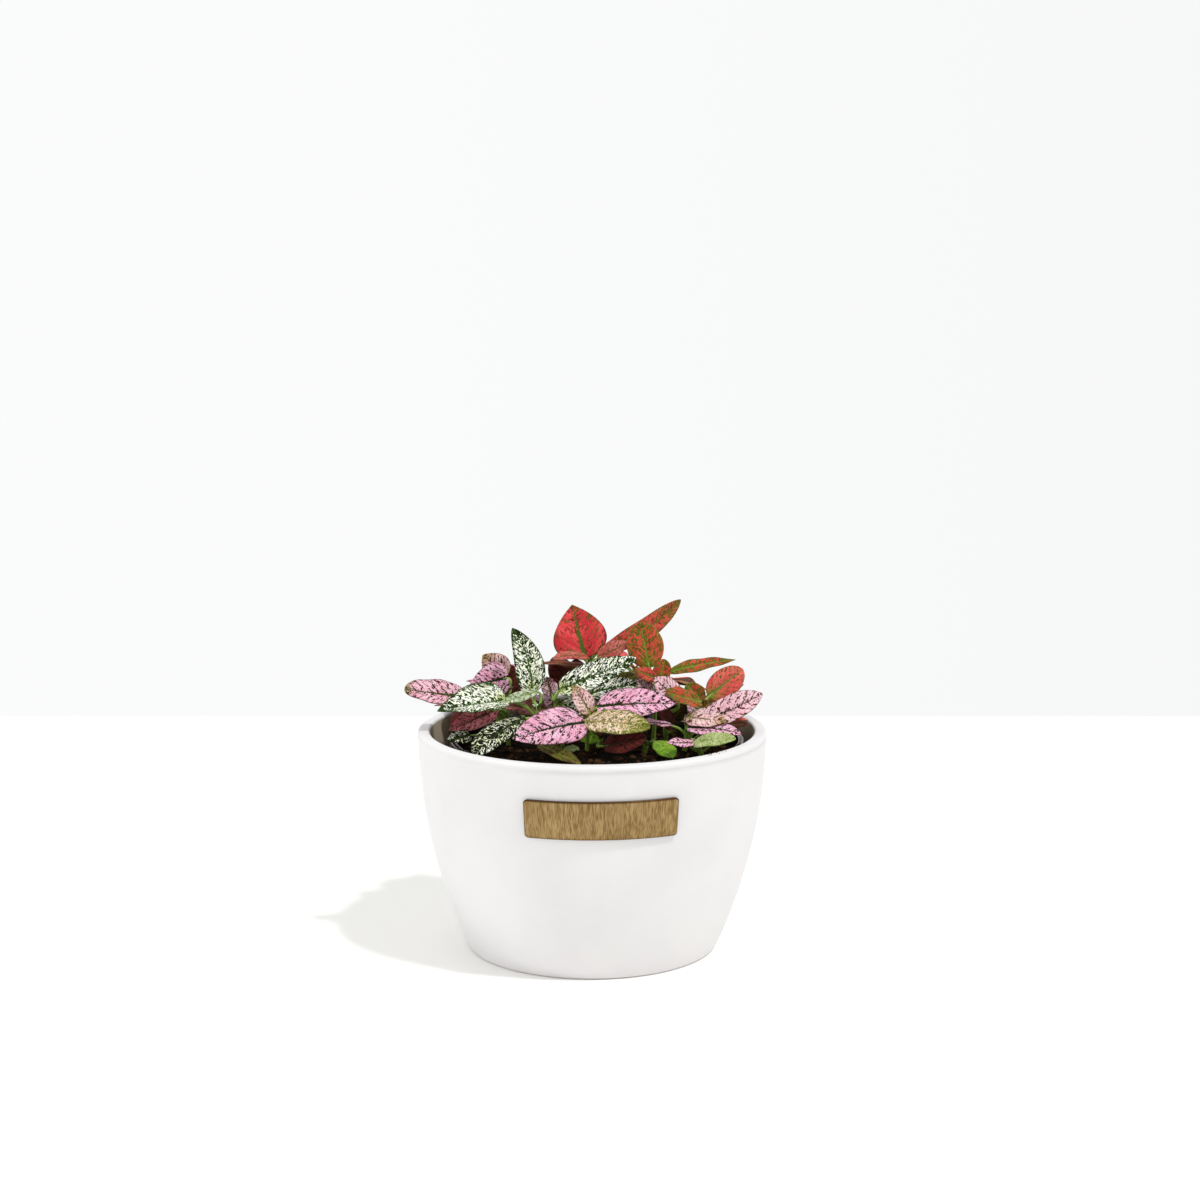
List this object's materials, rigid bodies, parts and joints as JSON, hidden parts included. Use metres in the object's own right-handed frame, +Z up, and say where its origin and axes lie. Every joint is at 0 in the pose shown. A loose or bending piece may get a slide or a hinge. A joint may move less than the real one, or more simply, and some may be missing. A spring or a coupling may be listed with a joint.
{
  "type": "potted polka dot plant",
  "caption": "Small round white ceramic planter with a bare brass plate, holding a bushy polka dot plant with speckled pink, white and red leaves.",
  "frame": {"origin": "centre of the planter's flat underside, where it stands on a surface", "axes": "+Z up through the planter's axis, -Y towards the front with the name plate, +X to the right seen from the front"},
  "size_m": [0.1445, 0.148, 0.1368],
  "materials": {
    "white_ceramic": "matte off-white, smooth, with a faint satin glaze on the lip",
    "brass": "brushed antique brass, dull, darker at its edges",
    "black_plastic": "thin satin black plastic",
    "soil": "dark crumbly potting mix",
    "pink_leaf": "satin leaf, pink with dark green flecks along the veins",
    "white_leaf": "satin leaf, cream white splashes over dark green",
    "red_leaf": "satin leaf, carmine with olive green veins and edge",
    "green_leaf": "satin light green stems and young leaves"
  },
  "bodies": {
    "root": {"outer_pot": "white_ceramic", "name_plate": "brass", "grow_pot": "black_plastic", "soil": "soil", "pink_leafy_stem_left": "pink_leaf", "white_leafy_stem_left": "white_leaf", "white_leafy_stem_middle": "white_leaf", "pink_leafy_stem_middle": "pink_leaf", "red_leafy_stem_left": "red_leaf", "red_leafy_stem_middle": "red_leaf", "pink_leafy_stem_back_right": "pink_leaf", "red_leafy_stem_right": "red_leaf", "pink_leafy_stem_right": "pink_leaf", "green_leafy_stem_right": "green_leaf", "green_leafy_stem_middle": "green_leaf", "green_leafy_stem_low_right": "green_leaf", "green_leafy_stem_front": "green_leaf", "pink_leafy_stem_behind": "pink_leaf", "pink_leafy_stem_back_left": "pink_leaf", "white_leafy_stem_back": "white_leaf", "red_leafy_stem_back": "red_leaf", "pink_leafy_stem_back_far_right": "pink_leaf"}
  },
  "joints": []
}
